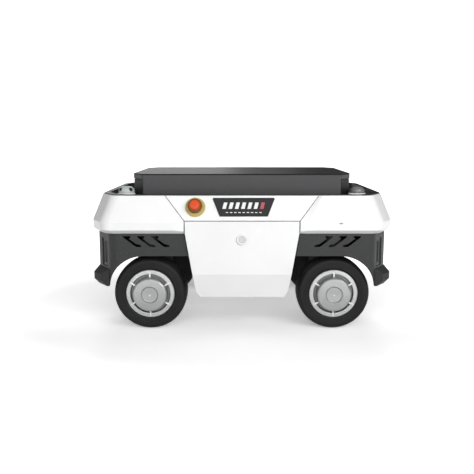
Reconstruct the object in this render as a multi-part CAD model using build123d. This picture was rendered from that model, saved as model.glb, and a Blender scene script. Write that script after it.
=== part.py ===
from build123d import *
import os
from math import atan2, cos, hypot, sin

# A compact four-wheel-drive, four-wheel-steer robot base, in millimetres.
# +X is forward, +Y is left and +Z is up. The origin is on the ground, under the middle of the base.
# Each wheel holds its own hub motor and hangs from a knuckle that a geared motor turns about a vertical axis.

os.makedirs("parts", exist_ok=True)

# Plan outline: an octagon whose corners are cut by the same amounts at every height.
CUT_X, CUT_Y = 35.0, 63.0
CORNER_R = 30.0

# White upper shell
BELT_X, BELT_Y = 369.0, 250.0
RIM_X, RIM_Y = 347.0, 224.0
RIM_Z, BELT_TOP_Z, BELT_LOW_Z, LIP_Z = 334.0, 272.0, 253.0, 244.5
LIP_INSET = 8.0
HOOD_WALL = 4.5
RIM_FLANGE = 6.0
SEAM = 1.2
SEAM_Z = 275.0
SEAM_X = 138.4
SEAM_SLOPE = 0.80
PANEL_INSET = 3.0
PANEL_WALL = 3.0
FACET_LOW_W, FACET_TOP_W = 21.0, 5.0
SLOPE = atan2(BELT_Y - RIM_Y, RIM_Z - BELT_TOP_Z)

# Side skirts: the right one is the battery door, the left one is fixed.
SKIRT_KNEE_Z, SKIRT_KNEE_X = 246.0, 137.0
SKIRT_LOW_Z, SKIRT_LOW_X = 102.0, 112.5
SKIRT_FOOT_Z, SKIRT_FOOT_X = 86.0, 103.0
SKIRT_CREASE_Z, SKIRT_FOOT_Y = 145.0, 235.0
SKIRT_Y = BELT_Y - PANEL_INSET
SKIRT_WALL = 3.0
SKIRT_FLANGE = 26.0

# Black lower body
FASCIA_X, FASCIA_Y = 357.5, 240.0
FASCIA_CUT_X, FASCIA_CUT_Y = 42.0, 63.0
FASCIA_LOW_Z, FASCIA_TOP_Z = 113.0, 244.2
FASCIA_WALL = 3.0
ARCH_X, ARCH_Z, ARCH_R = 237.8, 102.0, 87.0
LAMP_W, LAMP_H, LAMP_Z = 32.0, 69.0, 194.5
BUMPER_X, BUMPER_Y = 369.0, 243.5
BUMPER_END_Y, BUMPER_LOW_Z = 228.0, 112.0

# Wheels and steering
WHEELBASE, TRACK = 453.0, 364.0
TYRE_R, TYRE_W = 90.0, 66.0
RIM_R = 60.0
AXLE_R, AXLE_CLEAR = 9.95, 0.07
ARM_IN, ARM_OUT = 40.0, 52.0
CROWN_LOW_Z, CROWN_TOP_Z = 184.5, 194.5
PIVOT_R, PIVOT_CLEAR = 12.5, 0.06

# Floor pan and frame
PAN_Z, PAN_T = 197.0, 3.0
TUB_TOP_X, TUB_LOW_X, TUB_Z, TUB_Y = 127.0, 104.0, 92.0, 206.0
PAN_SIDE_Y = 219.0
TUBE, TUBE_WALL = 25.0, 2.0
POST_X, POST_Y, HEADER_Z = 150.0, 202.5, 240.0
RAIL_Y, END_X, RAIL_POST_X = 95.0, 332.0, 288.0

# Top deck
DECK_X, DECK_Y, DECK_Z = 273.0, 174.0, 383.0
DECK_CUT_X, DECK_CUT_Y = 27.0, 40.0
DECK_SKIRT_H, DECK_FLANGE_Z, DECK_WALL = 13.0, 324.0, 3.0
TRAY_Z, TRAY_T = 322.0, 2.5
TRAY_LIP_INSET, TRAY_LIP_H = 2.0, 1.8
MOUNT_X, MOUNT_Y, MOUNT_R = 400.0, 240.0, 3.3
POD_X, POD_Y, POD_R, POD_SEAT_H = 286.0, -170.0, 21.5, 14.0

# Emergency stops and the door latch
ESTOP_X, ESTOP_Z = 112.0, 306.7
ESTOP_HOLE_R, PLUNGER_R = 11.2, 6.2
PLATE_X = 4.0
LATCH_Z = 231.0
HINGE_Y, HINGE_Z, HINGE_R = -222.0, 98.0, 3.0

FAR = 600.0


def octagon(half_x, half_y, z, cut_x=CUT_X, cut_y=CUT_Y, radius=CORNER_R):
    """A flat octagon at height z, with rounded corners."""
    corners = [
        (half_x, half_y - cut_y),
        (half_x - cut_x, half_y),
        (cut_x - half_x, half_y),
        (-half_x, half_y - cut_y),
        (-half_x, cut_y - half_y),
        (cut_x - half_x, -half_y),
        (half_x - cut_x, -half_y),
        (half_x, cut_y - half_y),
    ]
    flat = make_face(Polyline(*corners, close=True))
    return Pos(0, 0, z) * fillet(flat.vertices(), radius)


def band(*levels, **shape):
    """The solid through octagons given as (half_x, half_y, z)."""
    return loft([octagon(*level, **shape).face() for level in levels], ruled=True)


def slab_y(points, low_y, high_y):
    """A polygon in X and Z, extruded from low_y to high_y."""
    flat = Plane.XZ * make_face(Polyline(*points, close=True))
    return Pos(0, high_y, 0) * extrude(flat, high_y - low_y)


def both_x(shape):
    return shape + mirror(shape, Plane.YZ)


def both_y(shape):
    return shape + mirror(shape, Plane.XZ)


def block(x0, x1, y0, y1, z0, z1):
    """A box from its limits."""
    centre = Pos((x0 + x1) / 2, (y0 + y1) / 2, (z0 + z1) / 2)
    return centre * Box(x1 - x0, y1 - y0, z1 - z0)


def drum(radius, z0, z1):
    """A cylinder on the Z axis."""
    return Pos(0, 0, (z0 + z1) / 2) * Cylinder(radius, z1 - z0)


def spun(*points):
    """A solid of revolution about Z, from a profile of (radius, z) points."""
    return revolve(Plane.XZ * make_face(Polyline(*points, close=True)), Axis.Z)


def upper_shell(inset, wall):
    """The white shell's whole ring, set in from the outline, with its rim flange and an open middle."""
    outer = band(
        (BELT_X - LIP_INSET - inset, BELT_Y - LIP_INSET - inset, LIP_Z),
        (BELT_X - inset, BELT_Y - inset, BELT_LOW_Z),
        (BELT_X - inset, BELT_Y - inset, BELT_TOP_Z),
        (RIM_X - inset, RIM_Y - inset, RIM_Z),
    )
    inside = inset + wall
    inner = band(
        (BELT_X - LIP_INSET - inside, BELT_Y - LIP_INSET - inside, LIP_Z - 1),
        (BELT_X - inside, BELT_Y - inside, BELT_LOW_Z + 1),
        (BELT_X - inside, BELT_Y - inside, BELT_TOP_Z - 1),
        (RIM_X - inside, RIM_Y - inside, RIM_Z - wall),
    )
    rim_x, rim_y = RIM_X - RIM_FLANGE - PANEL_INSET, RIM_Y - RIM_FLANGE - PANEL_INSET
    return outer - inner - band((rim_x, rim_y, RIM_Z - 20), (rim_x, rim_y, RIM_Z + 5))


def seam_x(z):
    """Where the slanted seam between hood and side panel lies at height z."""
    return SEAM_X + max(0.0, z - SEAM_Z) * SEAM_SLOPE


def bevel(start, stop, sideways, outward, start_width, stop_width):
    """A cutter along a stretch of seam: flush at the given widths away, PANEL_INSET deep at the seam."""
    direction = (stop - start).normalized()
    faces = []
    for origin, width in ((start, start_width), (stop, stop_width)):
        plane = Plane(origin=origin, x_dir=sideways, z_dir=direction)
        up = 1.0 if plane.y_dir.dot(outward) > 0 else -1.0
        corners = [
            (-4, -up * PANEL_INSET),
            (0, -up * PANEL_INSET),
            (width, 0),
            (width, up * 4),
            (-4, up * 4),
        ]
        faces.append(plane * make_face(Polyline(*corners, close=True)))
    return loft([face.face() for face in faces], ruled=True)


def seam_wedge(side):
    """The shallow bevel, wider lower down, that leads from the front hood's face down to the side panel's."""
    foot = Vector(seam_x(SEAM_Z), side * (panel_y(SEAM_Z) + PANEL_INSET), SEAM_Z)
    head = Vector(seam_x(RIM_Z), side * RIM_Y, RIM_Z)
    along = (head - foot).normalized()
    across = (Vector(1, 0, 0) - along * along.X).normalized()
    outward = Vector(0, side * cos(SLOPE), sin(SLOPE))
    slanted = bevel(foot - along * 3, head + along * 10, across, outward, FACET_LOW_W, FACET_TOP_W)
    top = Vector(SEAM_X, side * BELT_Y, SEAM_Z + 2)
    bottom = Vector(SEAM_X, side * BELT_Y, LIP_Z - 3)
    upright = bevel(top, bottom, Vector(1, 0, 0), Vector(0, side, 0), FACET_LOW_W, FACET_LOW_W + 3)
    return slanted + upright


def hood():
    """The front hood; the rear one is its mirror image."""
    region = slab_y(
        [
            (SEAM_X + SEAM / 2, 200),
            (SEAM_X + SEAM / 2, SEAM_Z),
            (seam_x(RIM_Z + 10) + SEAM / 2, RIM_Z + 10),
            (FAR, RIM_Z + 10),
            (FAR, 200),
        ],
        -FAR,
        FAR,
    )
    return (upper_shell(0, HOOD_WALL) & region) - seam_wedge(1) - seam_wedge(-1)


def side_panel():
    """The right-hand upper panel between the hoods, with the emergency stop's hole."""
    region = slab_y(
        [
            (-SEAM_X + SEAM / 2, SEAM_Z + SEAM / 2),
            (SEAM_X - SEAM / 2, SEAM_Z + SEAM / 2),
            (seam_x(RIM_Z + 10) - SEAM / 2, RIM_Z + 10),
            (-seam_x(RIM_Z + 10) + SEAM / 2, RIM_Z + 10),
        ],
        -FAR,
        0,
    )
    return (upper_shell(PANEL_INSET, PANEL_WALL) & region) - estop_plane() * drum(ESTOP_HOLE_R, -20, 20)


def panel_y(z):
    """How far the side panel's outer face stands from the middle at height z."""
    return BELT_Y - PANEL_INSET - (z - BELT_TOP_Z) * (BELT_Y - RIM_Y) / (RIM_Z - BELT_TOP_Z)


def estop_plane():
    """A frame on the right side panel with Z along the emergency stop's axis, outwards."""
    return Plane(
        origin=(-ESTOP_X, -panel_y(ESTOP_Z), ESTOP_Z),
        x_dir=(1, 0, 0),
        z_dir=(0, -cos(SLOPE), sin(SLOPE)),
    )


def skirt_outline(inset):
    """The skirt's outline in X and Z, right half then left half."""
    right = [
        (SKIRT_FOOT_X - inset, SKIRT_FOOT_Z),
        (SKIRT_LOW_X - inset, SKIRT_LOW_Z),
        (SKIRT_KNEE_X - inset, SKIRT_KNEE_Z),
        (SKIRT_KNEE_X - inset, SEAM_Z - SEAM / 2 - inset),
    ]
    return right + [(-x, z) for x, z in reversed(right)]


def skirt():
    """The right-hand skirt: a folded pan, open at the back and foot, with a hole for the round fitting."""

    def depth(y_out, grow):
        """Everything inboard of the folded outer face, moved in by grow."""
        side = [
            (-(y_out - grow), SEAM_Z + 20),
            (-(y_out - grow), SKIRT_CREASE_Z),
            (-(SKIRT_FOOT_Y - grow), SKIRT_FOOT_Z),
            (-(SKIRT_FOOT_Y - grow), SKIRT_FOOT_Z - 20),
            (-(SKIRT_Y - SKIRT_FLANGE), SKIRT_FOOT_Z - 20),
            (-(SKIRT_Y - SKIRT_FLANGE), SEAM_Z + 20),
        ]
        flat = Plane.YZ * make_face(Polyline(*side, close=True))
        return Pos(-FAR / 2, 0, 0) * extrude(flat, FAR)

    outer = slab_y(skirt_outline(0), -FAR, 0) & depth(SKIRT_Y, 0)
    core = [(x, z - 20 if z == SKIRT_FOOT_Z else z) for x, z in skirt_outline(SKIRT_WALL)]
    inner = slab_y(core, -FAR, 0) & depth(SKIRT_Y, SKIRT_WALL)
    mouth_y = SKIRT_FLANGE - SKIRT_Y
    mouth = Pos(0, mouth_y + 5, 0) * (inner & block(-FAR, FAR, mouth_y - 6, 0, 0, FAR))
    hole = Pos(0, -SKIRT_Y, LATCH_Z) * Rot(90, 0, 0) * drum(9.2, -20, 20)
    return outer - (inner + mouth) - hole


def hinge_lug(x):
    """The door's half of a hinge: a lug from the skin to round the pin."""
    lug = block(x - 5, x + 5, -236.0, HINGE_Y, HINGE_Z - 6, HINGE_Z + 6)
    eye = Pos(x, HINGE_Y, HINGE_Z) * Rot(0, 90, 0) * Cylinder(6, 10)
    bore = Pos(x, HINGE_Y, HINGE_Z) * Rot(0, 90, 0) * Cylinder(HINGE_R + 0.06, 12)
    return lug + eye - bore


def hinge_bracket(x):
    """The frame's half: two ears on a foot under the tub, and the pin through them."""
    ears = None
    for start in (x - 11, x + 5.3):
        ear = block(start, start + 5.7, HINGE_Y, -206.3, HINGE_Z - 6, HINGE_Z + 6)
        ear += Pos(start + 2.85, HINGE_Y, HINGE_Z) * Rot(0, 90, 0) * Cylinder(6, 5.7)
        ears = ear if ears is None else ears + ear
    foot = block(x - 11, x + 11, -214, -196, TUB_Z + PAN_T + 0.05, HINGE_Z + 6)
    pin = Pos(x, HINGE_Y, HINGE_Z) * Rot(0, 90, 0) * Cylinder(HINGE_R, 26)
    return ears + foot + pin


def vent(index):
    """One slanted slot in a front fender, hooked at its foot and at its head, as a cutter."""
    foot = 175.0 + 34.0 * index
    points = [
        (foot, 211.5),
        (foot + 11, 211.5),
        (foot + 16, 214.5),
        (foot + 40, 233.0),
        (foot + 44, 238.0),
        (foot + 26, 238.0),
        (foot + 25, 235.0),
        (foot + 29, 231.5),
        (foot + 12.6, 219.0),
        (foot, 215.5),
    ]
    return slab_y(points, -FAR, FAR)


def facet_plane(side):
    """A frame on the front corner facet, with Z outwards and Y up."""
    length = hypot(FASCIA_CUT_X, FASCIA_CUT_Y)
    middle = (FASCIA_X - FASCIA_CUT_X / 2, side * (FASCIA_Y - FASCIA_CUT_Y / 2), LAMP_Z)
    outward = (FASCIA_CUT_Y / length, side * FASCIA_CUT_X / length, 0)
    return Plane(origin=middle, x_dir=(-outward[1], outward[0], 0), z_dir=outward)


def fascia():
    """The front lower body, in one moulding: end wall, corner facets and both fenders."""
    shape = dict(cut_x=FASCIA_CUT_X, cut_y=FASCIA_CUT_Y)
    outer = band((FASCIA_X, FASCIA_Y, FASCIA_LOW_Z), (FASCIA_X, FASCIA_Y, FASCIA_TOP_Z), **shape)
    inner_x, inner_y = FASCIA_X - FASCIA_WALL, FASCIA_Y - FASCIA_WALL
    inner = band((inner_x, inner_y, FASCIA_LOW_Z - 1), (inner_x, inner_y, FASCIA_TOP_Z + 1), **shape)
    arch_top = ARCH_Z + ARCH_R
    fold_x = SKIRT_KNEE_X + 2.5
    low_x = fold_x - (SKIRT_KNEE_Z - arch_top) * (SKIRT_KNEE_X - SKIRT_LOW_X) / (SKIRT_KNEE_Z - SKIRT_LOW_Z)
    edge = (
        Line((fold_x, SKIRT_KNEE_Z + 5), (fold_x, SKIRT_KNEE_Z))
        + Line((fold_x, SKIRT_KNEE_Z), (low_x, arch_top))
        + Line((low_x, arch_top), (ARCH_X, arch_top))
        + RadiusArc((ARCH_X, arch_top), (ARCH_X + ARCH_R, ARCH_Z), ARCH_R)
        + Line((ARCH_X + ARCH_R, ARCH_Z), (FAR, ARCH_Z))
        + Line((FAR, ARCH_Z), (FAR, SKIRT_KNEE_Z + 5))
        + Line((FAR, SKIRT_KNEE_Z + 5), (fold_x, SKIRT_KNEE_Z + 5))
    )
    keep = Pos(0, FAR, 0) * extrude(Plane.XZ * make_face(edge), 2 * FAR)
    skin = (outer - inner) & keep
    for index in range(3):
        skin -= vent(index)
    for side in (-1, 1):
        skin -= facet_plane(side) * Box(LAMP_W, LAMP_H, 20)
    for row in range(5):
        z = 159.0 + 10.5 * row
        skin -= block(FASCIA_X - 10, FASCIA_X + 10, -95, -15, z, z + 4.5)
        skin -= block(FASCIA_X - 10, FASCIA_X + 10, 15, 95, z, z + 4.5)
    return skin


def corner_lamps():
    """Four light units, one set into each corner facet: a smoked lens on a housing."""
    pair = None
    for side in (-1, 1):
        lens = Pos(0, 0, -4.2) * Box(LAMP_W - 0.6, LAMP_H - 0.6, 5)
        lens = fillet(lens.edges().filter_by(Axis.Z), 4)
        rear = Pos(0, 0, -12.7) * Box(LAMP_W - 6, LAMP_H - 6, 12)
        unit = facet_plane(side) * (lens + rear)
        pair = unit if pair is None else pair + unit
    return both_x(pair)


def bumper():
    """The front bumper: a flared band round the foot of the fascia, fuller at its corners."""
    seat_x, seat_y = FASCIA_X + 0.3, FASCIA_Y + 0.3
    outer = band(
        (seat_x + 1.5, seat_y + 1.5, BUMPER_LOW_Z, 40.0, 54.0),
        (BUMPER_X, BUMPER_Y, BUMPER_LOW_Z + 13.5, 37.0, 46.0),
        (BUMPER_X, BUMPER_Y, BUMPER_LOW_Z + 30.0, 37.0, 46.0),
        (seat_x + 1, seat_y + 1, BUMPER_LOW_Z + 43.0, FASCIA_CUT_X, FASCIA_CUT_Y),
    )
    seat = band((seat_x, seat_y, 90.0), (seat_x, seat_y, 170.0), cut_x=FASCIA_CUT_X, cut_y=FASCIA_CUT_Y)
    return (outer - seat) & block(300, FAR, -BUMPER_END_Y, BUMPER_END_Y, 0, FAR)


def floor_pan():
    """The folded steel pan: a flat roof over the wheels, round a tub that holds the battery."""
    roof = block(-352, 352, -236, 236, PAN_Z, PAN_Z + PAN_T)
    roof = roof & band((352, 236, PAN_Z - 1), (352, 236, PAN_Z + PAN_T + 1), cut_x=66, cut_y=99)
    roof -= both_y(block(-145, 145, PAN_SIDE_Y, 240, PAN_Z - 1, PAN_Z + PAN_T + 1))
    top = PAN_Z + PAN_T
    lean = (TUB_TOP_X - TUB_LOW_X) / (top - TUB_Z)
    inner_top, inner_low = TUB_TOP_X - PAN_T, TUB_LOW_X - PAN_T
    outside = [(-TUB_TOP_X, top), (-TUB_LOW_X, TUB_Z), (TUB_LOW_X, TUB_Z), (TUB_TOP_X, top)]
    inside = [
        (-inner_top - lean, top + 1),
        (-inner_low, TUB_Z + PAN_T),
        (inner_low, TUB_Z + PAN_T),
        (inner_top + lean, top + 1),
    ]
    hollow = slab_y(inside, -FAR, FAR)
    pan = (roof - hollow) + (slab_y(outside, -TUB_Y, TUB_Y) - hollow)
    for x in (-1, 1):
        for y in (-1, 1):
            pan -= Pos(x * WHEELBASE / 2, y * TRACK / 2, 0) * drum(30, PAN_Z - 5, PAN_Z + 10)
    return pan


def tube_length(axis, low, high, across, z):
    """One square tube along X, Y or Z, from low to high, open at both ends."""
    bore = TUBE - 2 * TUBE_WALL
    middle = {
        "X": ((low + high) / 2, across, z),
        "Y": (across, (low + high) / 2, z),
        "Z": (across, z, (low + high) / 2),
    }[axis]
    run = high - low
    outer = {"X": (run, TUBE, TUBE), "Y": (TUBE, run, TUBE), "Z": (TUBE, TUBE, run)}[axis]
    inner = {"X": (run + 2, bore, bore), "Y": (bore, run + 2, bore), "Z": (bore, bore, run + 2)}[axis]
    return Pos(*middle) * (Box(*outer) - Box(*inner))


def chassis_frame():
    """The frame of butt-jointed square tubes on the pan, which carries the deck, and the door's keeper."""
    half, gap = TUBE / 2, 0.05
    low = PAN_Z + PAN_T + 0.2 + half
    high = TRAY_Z - TRAY_T - 0.5 - half
    header = HEADER_Z + half
    post_low, post_high = low + half + gap, high - half - gap
    tubes = []
    for side in (-1, 1):
        tubes.append(tube_length("X", -END_X + half + gap, END_X - half - gap, side * RAIL_Y, low))
        tubes.append(tube_length("X", -300, 300, side * RAIL_Y, high))
        tubes.append(tube_length("X", gap - POST_X + half, POST_X - half - gap, side * POST_Y, header))
    for end in (-1, 1):
        tubes.append(tube_length("Y", -150, 150, end * END_X, low))
        for z, reach in ((low, POST_Y + half), (high, POST_Y - half - gap)):
            inner, outer = RAIL_Y - half - gap, RAIL_Y + half + gap
            for start, stop in ((-reach, -outer), (-inner, inner), (outer, reach)):
                tubes.append(tube_length("Y", start, stop, end * POST_X, z))
        for side in (-1, 1):
            tubes.append(tube_length("Z", post_low, high + half, end * POST_X, side * POST_Y))
            tubes.append(tube_length("Z", post_low, post_high, end * RAIL_POST_X, side * RAIL_Y))
    keeper = block(-12, 12, -233, -POST_Y - half - gap, 256, 258) + block(-12, 12, -233, -231, 243, 258)
    return Compound(children=[tube.solid() for tube in tubes] + [keeper.solid()])


def deck_tray():
    """The black recessed tray inside the shell's rim, with a flat lip that covers the rim."""
    edge_x, edge_y = RIM_X - RIM_FLANGE - PANEL_INSET - 0.4, RIM_Y - RIM_FLANGE - PANEL_INSET - 0.4
    lip_x, lip_y = RIM_X - TRAY_LIP_INSET, RIM_Y - TRAY_LIP_INSET
    outer = band(
        (edge_x - 4, edge_y - 4, TRAY_Z - TRAY_T),
        (edge_x, edge_y, RIM_Z - 6),
        (edge_x, edge_y, RIM_Z + 1),
    )
    lip = band((lip_x, lip_y, RIM_Z + 0.05), (lip_x, lip_y, RIM_Z + TRAY_LIP_H))
    inner = band((edge_x - 8, edge_y - 8, TRAY_Z), (edge_x - 5, edge_y - 5, RIM_Z + 6))
    tray = outer + lip - inner
    for x, y in ((POD_X, POD_Y), (-POD_X, POD_Y)):
        tray -= Pos(x, y, 0) * drum(8, TRAY_Z - 20, TRAY_Z + 20)
    return tray


def deck_outline(inset, low, high):
    """The solid inside the top cover's rounded outline, set in by inset."""
    half_x, half_y = DECK_X - inset, DECK_Y - inset
    return band((half_x, half_y, low), (half_x, half_y, high), cut_x=DECK_CUT_X, cut_y=DECK_CUT_Y, radius=6)


def deck_walls(inset, low, side_low, high):
    """Eight flat walls, mitred where they meet, round an outline; the two long ones go down to side_low."""
    outer = deck_outline(inset, side_low, high)
    out_x, out_y, thick, gap = DECK_X - inset, DECK_Y - inset, DECK_WALL, 0.04
    ends = out_y - DECK_CUT_Y - gap
    sides = out_x - DECK_CUT_X - gap
    corner = [
        (out_x + gap, out_y - DECK_CUT_Y + gap),
        (out_x - DECK_CUT_X + gap, out_y + gap),
        (out_x - DECK_CUT_X - thick + gap, out_y - thick + gap),
        (out_x - thick + gap, out_y - DECK_CUT_Y - thick + gap),
    ]
    end = [(out_x, ends), (out_x, -ends), (out_x - thick, thick - ends), (out_x - thick, ends - thick)]
    long = [(sides, out_y), (-sides, out_y), (thick - sides, out_y - thick), (sides - thick, out_y - thick)]
    walls = []
    for points, foot in ((corner, low), (end, low), (long, side_low)):
        wall = Pos(0, 0, foot) * extrude(make_face(Polyline(*points, close=True)), high - foot) & outer
        walls.append(wall)
    corner, end, long = walls
    pieces = [end, mirror(end, Plane.YZ), long, mirror(long, Plane.XZ)]
    for piece in (corner, mirror(corner, Plane.YZ)):
        pieces += [piece, mirror(piece, Plane.XZ)]
    return [piece.solid() for piece in pieces]


def deck_plate():
    """The top cover: a flat plate on a shallow skirt, whose walls are deep along the long sides."""
    top = deck_outline(0, DECK_Z - DECK_WALL, DECK_Z)
    top = fillet(top.faces().sort_by(Axis.Z)[-1].edges(), 1.5)
    for x in (-1, 1):
        for y in (-1, 1):
            top -= Pos(x * MOUNT_X / 2, y * MOUNT_Y / 2, 0) * drum(MOUNT_R, DECK_Z - 10, DECK_Z + 10)
    walls = deck_walls(0, DECK_Z - DECK_SKIRT_H, DECK_FLANGE_Z, DECK_Z - DECK_WALL - 0.03)
    return Compound(children=[top.solid()] + walls)


def deck_frame():
    """The walls under the cover, on the tray. Ends and corners step out, almost flush, under its skirt."""
    foot = TRAY_Z + 0.1
    tucked = deck_walls(DECK_WALL + 0.4, foot, foot, DECK_Z - DECK_WALL - 0.3)
    flush = deck_walls(0.8, foot, foot, DECK_Z - DECK_SKIRT_H - 1.4)
    for index in (0, 1, 4, 5, 6, 7):
        tucked[index] = (tucked[index] + flush[index]).solid()
    return Compound(children=tucked)


def pod_base(x):
    """A white round seat for the fittings at each end of the tray."""
    low, top = TRAY_Z + 0.05, TRAY_Z + POD_SEAT_H
    seat = spun(
        (0, low),
        (POD_R - 3, low),
        (POD_R - 3, low + 4),
        (POD_R, low + 6),
        (POD_R, top - 1.5),
        (POD_R - 1.5, top),
        (0, top),
    )
    return Pos(x, POD_Y, 0) * (seat + drum(7.8, TRAY_Z - 12, TRAY_Z + 1))


def dome(x, radius, height):
    """A rounded cap on a seat."""
    base = TRAY_Z + POD_SEAT_H + 0.05
    cap = drum(radius, base, base + height)
    cap = fillet(cap.edges().filter_by(GeomType.CIRCLE).sort_by(Axis.Z)[-1], min(radius, height) * 0.72)
    return Pos(x, POD_Y, 0) * cap


def antenna_dome():
    """The front fitting: a glossy dark dome."""
    return dome(POD_X, 18.0, 16.0)


def connector_pod():
    """The rear fitting: a rounded housing with two round sockets sunk into its shoulders."""
    pod = dome(-POD_X, 20.0, 16.0)
    for angle in (-135, -45):
        aim = Pos(-POD_X, POD_Y, TRAY_Z + POD_SEAT_H + 7) * Rot(0, 0, angle) * Pos(13, 0, 0) * Rot(0, 62, 0)
        pod = (pod - aim * drum(5.2, 0, 20)) + aim * drum(2.2, -1, 3.5)
    return pod


def nameplate():
    """The right-hand badge plate: a flat trapezium on the side panel, with nothing written on it."""
    low_z, high_z = 285.4, 328.2
    height = (high_z - low_z) / cos(SLOPE)
    middle_z = (low_z + high_z) / 2
    outward = (0, -cos(SLOPE), sin(SLOPE))
    seat = Plane(origin=(PLATE_X, -panel_y(middle_z), middle_z), x_dir=(1, 0, 0), z_dir=outward)
    low, high = -height / 2, height / 2
    flat = make_face(Polyline((-57.5, low), (57.5, low), (75.5, high), (-75.5, high), close=True))
    return seat * extrude(fillet(flat.vertices(), 2.5), 1.6)


def estop_collar():
    """The emergency stop's fixed half: yellow collar, threaded barrel, nut and contact block."""
    bore = PLUNGER_R + 0.06
    collar = spun((bore, 0.05), (24, 0.05), (24, 1.5), (20.5, 4), (15, 4.8), (bore, 4.8))
    barrel = drum(11, -25, 0.5) - drum(bore, -30, 10)
    nut = extrude(RegularPolygon(16, 6), 5) - drum(11.1, -1, 6)
    contacts = Pos(0, 0, -36) * Box(30, 30, 28)
    seat = estop_plane()
    return seat * (collar + barrel) + seat * Pos(0, 0, -9) * nut + seat * contacts


def estop_plunger():
    """The stem that the head pushes in."""
    return estop_plane() * (drum(PLUNGER_R, -18, 8.3) + drum(4, 8, 18))


def estop_head():
    """The mushroom head, which twists to release: a flat face on a sloping skirt with grip notches."""
    head = spun(
        (4.05, 8.8),
        (16.5, 8.8),
        (17.5, 10.3),
        (17.5, 15),
        (12.6, 20),
        (11.2, 22.5),
        (0, 23),
        (0, 18.5),
        (4.05, 18.5),
    )
    for index in range(12):
        head -= Rot(0, 0, 30 * index) * Pos(17.9, 0, 12) * Cylinder(0.9, 10)
    return estop_plane() * head


def latch_bezel():
    """The white ring round the door's latch, with its barrel through the skin."""
    ring = spun((8.05, 0.05), (13.5, 0.05), (13.5, 2.4), (12.4, 3.6), (8.9, 3.6), (8.05, 2.8))
    barrel = drum(9.0, -14, 0.4) - drum(8.05, -20, 10)
    return Pos(0, -SKIRT_Y, LATCH_Z) * Rot(90, 0, 0) * (ring + barrel)


def latch_knob():
    """The turning core: a slotted face, its stem and the cam behind the door."""
    core = spun((0, -17), (8.0, -17), (8.0, 1.6), (7.2, 2.4), (0, 2.4))
    core -= Pos(0, 0, 2.4) * Box(1.4, 8, 2.4)
    cam = block(-5, 17, -5, 5, -20.5, -17)
    return Pos(0, -SKIRT_Y, LATCH_Z) * Rot(90, 0, 0) * (core + cam)


def charge_port():
    """The charging socket on the left skirt: a flanged barrel with a hinged-looking cap over three pins."""
    flange = spun((9.4, 0.05), (14.5, 0.05), (14.5, 2), (13.5, 3), (9.4, 3))
    body = drum(9.0, -16, 0.6)
    body += drum(9.9, 0.05, 1.2)
    for angle in (90, 210, 330):
        body += Rot(0, 0, angle) * Pos(4.5, 0, 0) * drum(1.4, 0, 2.6)
    return Pos(0, SKIRT_Y, LATCH_Z) * Rot(-90, 0, 0) * (flange + body)


def battery_pack():
    """The battery in the tub, with a folding-style strap handle on the door side."""
    case = block(-94, 94, -193, 150, 95.1, 190)
    case = fillet(case.edges().filter_by(Axis.Y), 8)
    grip = block(-45, 45, -205, -199, 138, 150)
    legs = both_x(block(37, 45, -200, -192, 138, 150))
    return case + grip + legs


def controller_box():
    """The main controller's finned case on the frame."""
    case = block(-110, 110, -70, 70, 226, 262)
    for index in range(10):
        y = -63.0 + 14.0 * index
        case += block(-104, 104, y - 1.5, y + 1.5, 261, 272)
    return case


def motor_drivers():
    """Four wheel drives, two at each end, beside the frame's rails."""
    pair = block(176, 262, 12, 76, 200.5, 236) + block(176, 262, -76, -12, 200.5, 236)
    return both_x(pair)


def wheel_frame(end, side):
    """A frame at a wheel's centre, with Z outboard along the axle and Y up."""
    centre = (end * WHEELBASE / 2, side * TRACK / 2, TYRE_R)
    return Plane(origin=centre, x_dir=(-side, 0, 0), z_dir=(0, side, 0))


def tyre():
    """A solid rubber tyre with rounded shoulders and three shallow grooves, about Z."""
    half, shoulder = TYRE_W / 2, 11.0
    seat = RIM_R + 0.05
    cheek = TYRE_R - shoulder
    edge = (
        Line((seat, -half + 3), (seat, half - 3))
        + Line((seat, half - 3), (seat + 4, half - 1))
        + Line((seat + 4, half - 1), (cheek - 1, half))
        + ThreePointArc((cheek - 1, half), (cheek + 7.4, half - 3.3), (TYRE_R - 0.6, half - shoulder))
        + ThreePointArc((TYRE_R - 0.6, half - shoulder), (TYRE_R, 0), (TYRE_R - 0.6, shoulder - half))
        + ThreePointArc((TYRE_R - 0.6, shoulder - half), (cheek + 7.4, 3.3 - half), (cheek - 1, -half))
        + Line((cheek - 1, -half), (seat + 4, 1 - half))
        + Line((seat + 4, 1 - half), (seat, 3 - half))
    )
    ring = revolve(Plane.XZ * make_face(edge), Axis.Z)
    for z in (-11, 0, 11):
        ring -= drum(TYRE_R + 5, z - 1.25, z + 1.25) - drum(TYRE_R - 2.2, z - 3, z + 3)
    return ring


def wheel_hub():
    """The rim, which is also the hub motor's turning case: open outboard, closed inboard round the axle."""
    return spun(
        (AXLE_R + AXLE_CLEAR, -36),
        (20, -36),
        (24, -33),
        (54, -31),
        (RIM_R, -31),
        (RIM_R, 25.8),
        (52, 25.8),
        (52, -26),
        (AXLE_R + AXLE_CLEAR, -26),
    )


def wheel_cover():
    """The bright outer cover: a flat ring, a groove crossed by six ribs, and a raised, dished cap."""
    cover = spun(
        (0, 22),
        (51.9, 22),
        (51.9, 25.9),
        (59.9, 25.9),
        (59.9, 32.5),
        (58.4, 34),
        (50.0, 34),
        (49.0, 33),
        (47.8, 26.5),
        (42.6, 26.5),
        (41.8, 43.5),
        (40.9, 46.3),
        (38.2, 48.2),
        (21.4, 49),
        (18.6, 45.6),
        (0, 45.0),
    )
    for index in range(6):
        rib = block(-2.0, 2.0, 41.5, 54.5, 26, 35.2)
        rib += block(-1.2, 1.2, 54, 58.2, 30, 34.8)
        cover += Rot(0, 0, 60 * index) * rib
    return cover


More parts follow.
